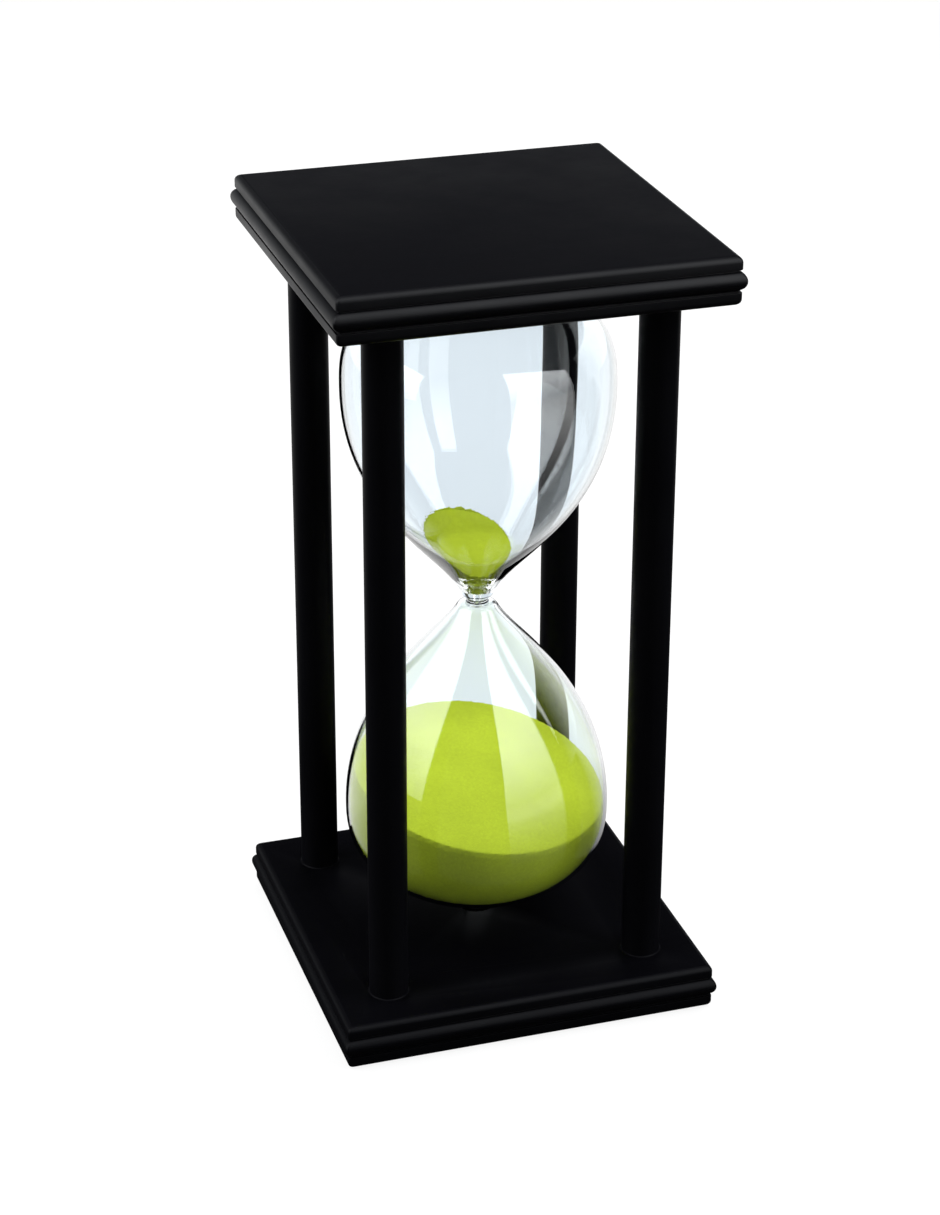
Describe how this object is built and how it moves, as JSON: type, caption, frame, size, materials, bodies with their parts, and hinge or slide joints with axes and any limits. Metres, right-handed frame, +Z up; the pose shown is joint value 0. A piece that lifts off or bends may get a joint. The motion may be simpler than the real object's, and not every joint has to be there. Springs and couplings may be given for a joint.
{
  "type": "hourglass",
  "caption": "Sand timer: a blown two-bulb glass with coloured sand, held upright between two square moulded plates joined by four round posts.",
  "frame": {"origin": "centre of the bottom plate's underside, on the surface it stands on", "axes": "+Z up along the glass's axis, X and Y along the sides of the square plates"},
  "size_m": [0.1, 0.1, 0.205],
  "materials": {
    "lacquered_wood": "black lacquer, semi-gloss",
    "clear_glass": "clear blown soda-lime glass",
    "lime_sand": "dyed fine sand, matt",
    "seat_felt": "pressed felt",
    "stopper_rubber": "matt black rubber"
  },
  "bodies": {
    "frame": {"bottom_plate": "lacquered_wood", "top_plate": "lacquered_wood", "post_front_left": "lacquered_wood", "post_front_right": "lacquered_wood", "post_back_left": "lacquered_wood", "post_back_right": "lacquered_wood", "lower_pad": "seat_felt", "upper_pad": "seat_felt"},
    "vessel": {"glass": "clear_glass", "stopper": "stopper_rubber", "lower_sand": "lime_sand", "upper_sand": "lime_sand"}
  },
  "joints": [
    {"name": "glass_turn", "type": "hinge", "parent": "frame", "child": "vessel", "pos_m": [0, 0, 0.1], "axis": [0, 0, 1], "continuous": true}
  ]
}
